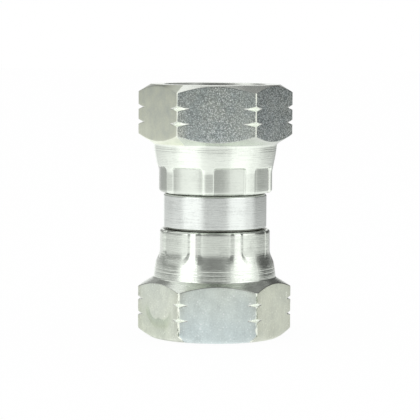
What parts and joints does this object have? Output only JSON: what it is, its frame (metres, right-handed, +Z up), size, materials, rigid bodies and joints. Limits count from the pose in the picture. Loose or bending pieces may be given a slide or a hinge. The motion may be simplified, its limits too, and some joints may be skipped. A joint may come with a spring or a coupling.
{
  "type": "straight swivel adapter fitting",
  "caption": "Straight hydraulic adapter: a turned body with a plain middle band and a crimped, freely swivelling hexagon nut with female thread and cone seat at each end.",
  "frame": {"origin": "centre of the lower nut's open face, on the surface the fitting stands on", "axes": "+Z up along the bore axis from the lower port to the upper port; -Y towards the viewer of the picture; +X to the viewer's right"},
  "size_m": [0.031, 0.0278, 0.051],
  "materials": {
    "body_zinc": "bright zinc plating on turned steel, fine turning lines",
    "upper_nut_zinc": "zinc plating on drawn hexagon bar, grainy flats, turned skirt",
    "lower_nut_zinc": "zinc plating on drawn hexagon bar, smoother flats, turned skirt"
  },
  "bodies": {
    "body": {"adapter_body": "body_zinc"},
    "upper_nut": {"upper_swivel_nut": "upper_nut_zinc"},
    "lower_nut": {"lower_swivel_nut": "lower_nut_zinc"}
  },
  "joints": [
    {"name": "upper_nut_swivel", "type": "hinge", "parent": "body", "child": "upper_nut", "pos_m": [0, 0, 0.0401], "axis": [0, 0, 1], "continuous": true},
    {"name": "lower_nut_swivel", "type": "hinge", "parent": "body", "child": "lower_nut", "pos_m": [0, 0, 0.0109], "axis": [0, 0, 1], "continuous": true}
  ]
}
